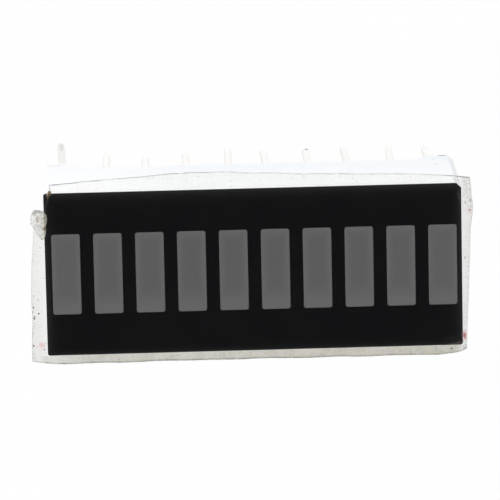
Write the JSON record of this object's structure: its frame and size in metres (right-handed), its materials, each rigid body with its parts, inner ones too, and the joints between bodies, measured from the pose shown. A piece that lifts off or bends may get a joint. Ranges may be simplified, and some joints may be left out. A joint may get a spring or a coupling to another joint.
{
  "type": "led bar graph display",
  "caption": "Through-hole LED bar graph: white reflector block with a black face, a row of grey diffused light bars, clear protective film and rows of round pins underneath.",
  "frame": {"origin": "centre of the pin grid, in the seating plane of the end feet", "axes": "+X along the row of bars towards the keyed end with pin 1, +Y across to the row of pins 1 to 10, +Z out of the black face"},
  "size_m": [0.0271, 0.0117, 0.0164],
  "materials": {
    "white_plastic": "smooth moulded, satin",
    "black_coat": "printed, matte",
    "clear_film": "clear, dusty at the edges",
    "grey_resin": "diffused, satin",
    "board_laminate": "glass-filled laminate",
    "copper": "etched foil",
    "solder": "smooth fillet",
    "epoxy": "milky cast resin",
    "semiconductor": "sawn die",
    "gold_wire": "drawn wire",
    "tinned_wire": "tinned"
  },
  "bodies": {
    "root": {"housing": "white_plastic", "face_coat": "black_coat", "protective_film": "clear_film", "circuit_board": "board_laminate", "copper_tracks": "copper", "solder_joints": "solder", "potting": "epoxy", "light_bar_01": "grey_resin", "light_bar_02": "grey_resin", "light_bar_03": "grey_resin", "light_bar_04": "grey_resin", "light_bar_05": "grey_resin", "light_bar_06": "grey_resin", "light_bar_07": "grey_resin", "light_bar_08": "grey_resin", "light_bar_09": "grey_resin", "light_bar_10": "grey_resin", "led_chip_01": "semiconductor", "led_chip_02": "semiconductor", "led_chip_03": "semiconductor", "led_chip_04": "semiconductor", "led_chip_05": "semiconductor", "led_chip_06": "semiconductor", "led_chip_07": "semiconductor", "led_chip_08": "semiconductor", "led_chip_09": "semiconductor", "led_chip_10": "semiconductor", "bond_wire_01": "gold_wire", "bond_wire_02": "gold_wire", "bond_wire_03": "gold_wire", "bond_wire_04": "gold_wire", "bond_wire_05": "gold_wire", "bond_wire_06": "gold_wire", "bond_wire_07": "gold_wire", "bond_wire_08": "gold_wire", "bond_wire_09": "gold_wire", "bond_wire_10": "gold_wire", "pin_01": "tinned_wire", "pin_02": "tinned_wire", "pin_03": "tinned_wire", "pin_04": "tinned_wire", "pin_05": "tinned_wire", "pin_06": "tinned_wire", "pin_07": "tinned_wire", "pin_08": "tinned_wire", "pin_09": "tinned_wire", "pin_10": "tinned_wire", "pin_11": "tinned_wire", "pin_12": "tinned_wire", "pin_13": "tinned_wire", "pin_14": "tinned_wire", "pin_15": "tinned_wire", "pin_16": "tinned_wire", "pin_17": "tinned_wire", "pin_18": "tinned_wire", "pin_19": "tinned_wire", "pin_20": "tinned_wire"}
  },
  "joints": []
}
